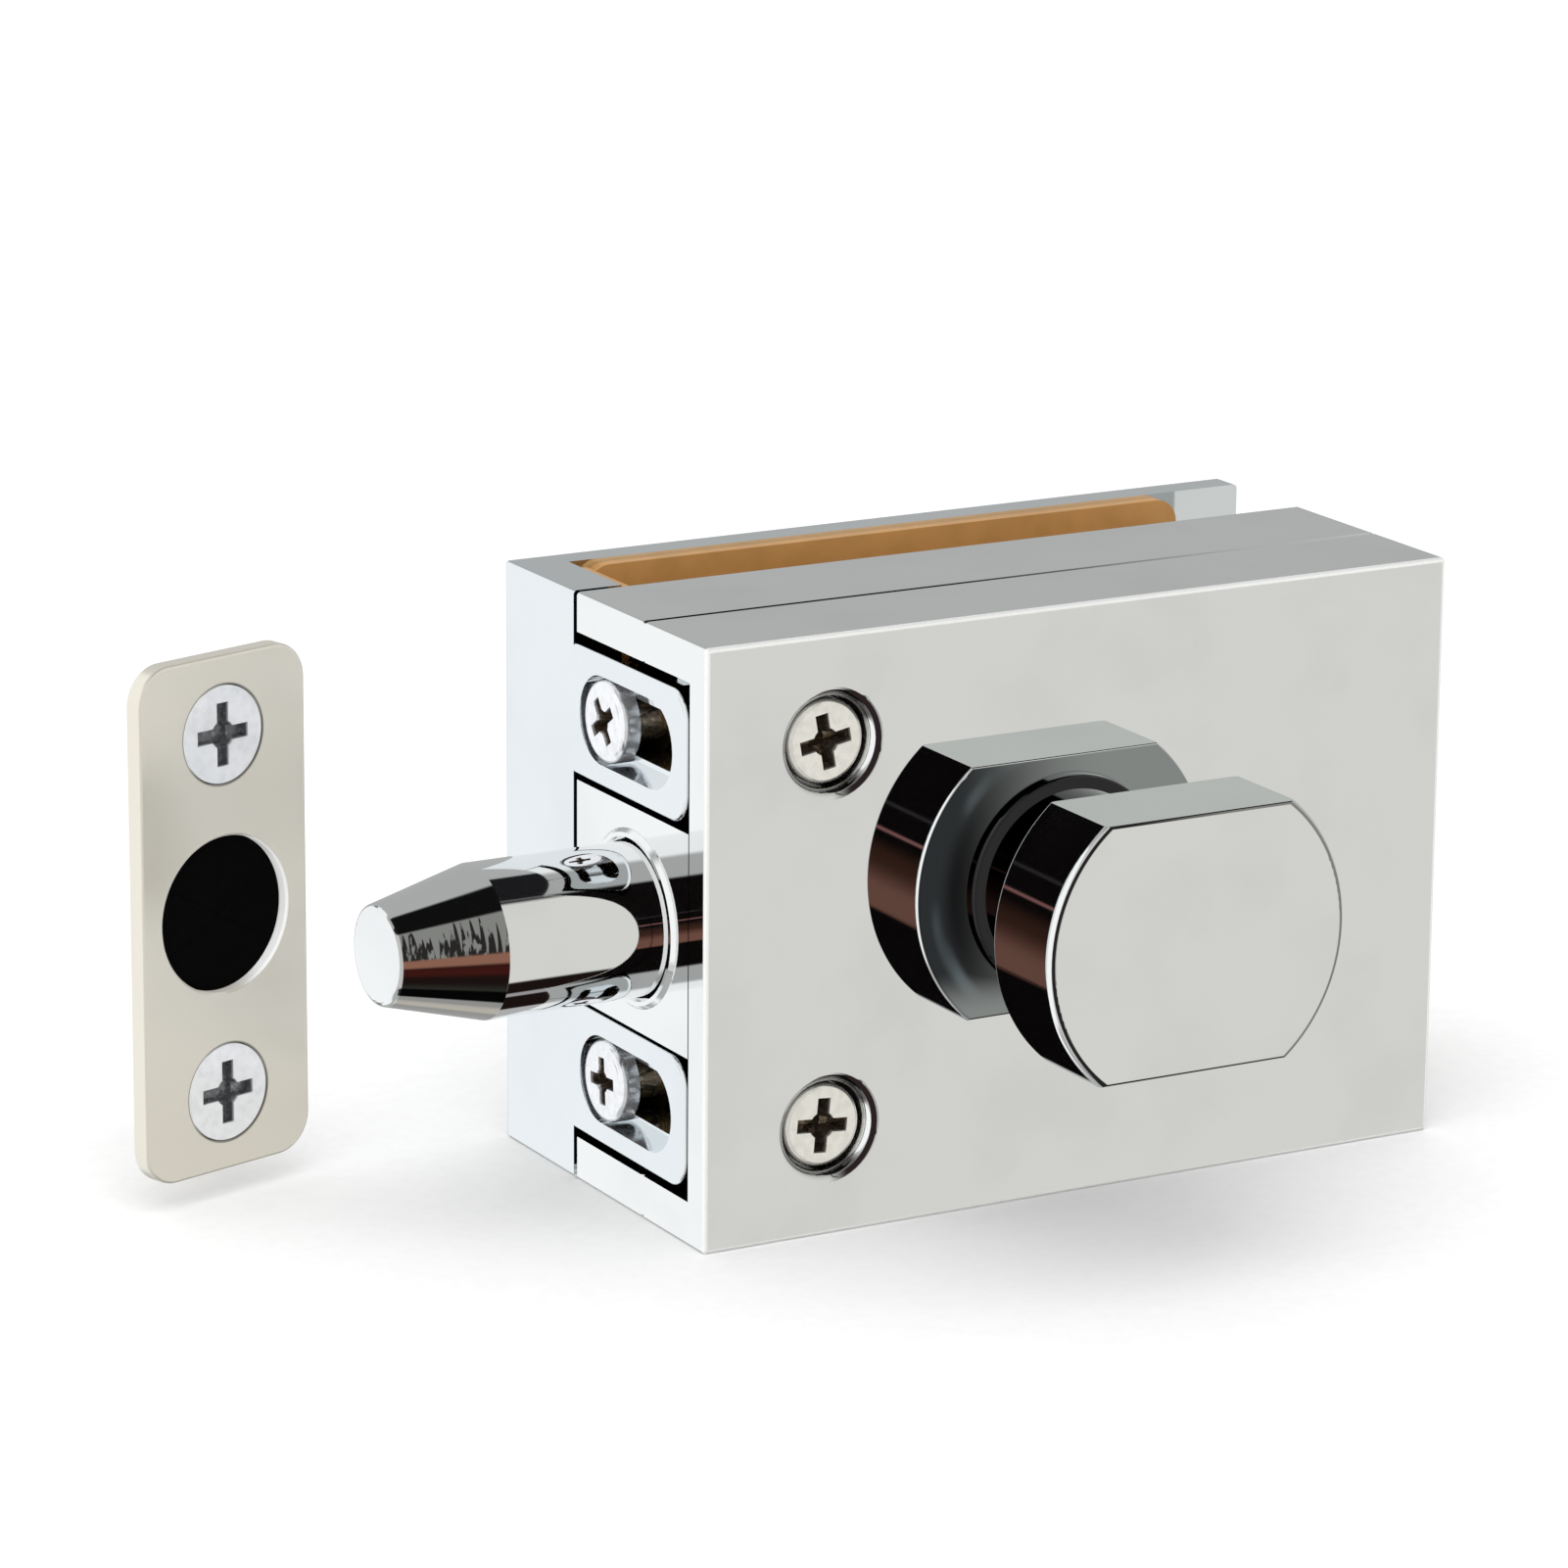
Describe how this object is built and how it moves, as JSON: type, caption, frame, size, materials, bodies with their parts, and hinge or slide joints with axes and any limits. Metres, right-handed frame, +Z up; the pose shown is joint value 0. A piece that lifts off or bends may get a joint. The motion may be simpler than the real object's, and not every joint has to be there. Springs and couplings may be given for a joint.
{
  "type": "shower door lock",
  "caption": "Clamp-on deadbolt lock for a frameless glass shower door: boxed body, round knob with flats, tapered round bolt, loose strike plate.",
  "frame": {"origin": "on the front face of the glass (the glass side of the front gasket), level with the bolt's axis and straight behind the knob's axis", "axes": "+X from the bolt towards the glass, +Y from the knob side into the glass, +Z up"},
  "size_m": [0.1061, 0.068, 0.05],
  "materials": {
    "polished_chrome": "bright polished chrome plate",
    "satin_nickel": "satin nickel",
    "bright_screw_steel": "bright zinc plate",
    "nickel_screw_steel": "satin nickel plate",
    "inner_steel": "plain machined steel",
    "brass_insert": "turned brass",
    "amber_gasket": "translucent amber sheet rubber",
    "bearing_plastic": "white acetal",
    "black_rubber": "matt black rubber"
  },
  "bodies": {
    "body": {"front_cover": "polished_chrome", "housing_block": "polished_chrome", "rear_cover": "polished_chrome", "front_gasket": "amber_gasket", "rear_gasket": "amber_gasket", "edge_gasket": "amber_gasket", "clamp_bar": "inner_steel", "bolt_collar": "polished_chrome", "bolt_guide_bush": "bearing_plastic", "spindle_bush": "bearing_plastic", "clamp_screws": "nickel_screw_steel", "clamp_inserts": "brass_insert", "tab_screws": "bright_screw_steel", "tab_inserts": "brass_insert", "cover_screws": "inner_steel", "locating_dowels": "inner_steel", "stop_pin": "inner_steel"},
    "knob": {"turn_knob": "polished_chrome", "spindle": "inner_steel", "knob_grub_screw": "inner_steel", "knob_washer": "bearing_plastic", "o_ring": "black_rubber", "pinion": "inner_steel", "pinion_screw": "inner_steel"},
    "bolt": {"deadbolt": "polished_chrome", "bolt_rack": "inner_steel", "rack_screws": "inner_steel"},
    "strike": {"strike_plate": "satin_nickel", "strike_seal": "black_rubber", "strike_screws": "bright_screw_steel"}
  },
  "joints": [
    {"name": "knob_turn", "type": "hinge", "parent": "body", "child": "knob", "pos_m": [0, -0.0228, 0.0046], "axis": [0, -1, 0], "range_deg": [0, 180]},
    {"name": "bolt_throw", "type": "slide", "parent": "body", "child": "bolt", "axis": [1, 0, 0], "range_m": [0, 0.02199]},
    {"name": "strike_part", "type": "slide", "parent": "body", "child": "strike", "axis": [-1, 0, 0], "range_m": [0, 0.03]}
  ],
  "couplings": [
    {"joint": "knob_turn", "follows": "bolt_throw", "rad_per_m": 142.86}
  ]
}
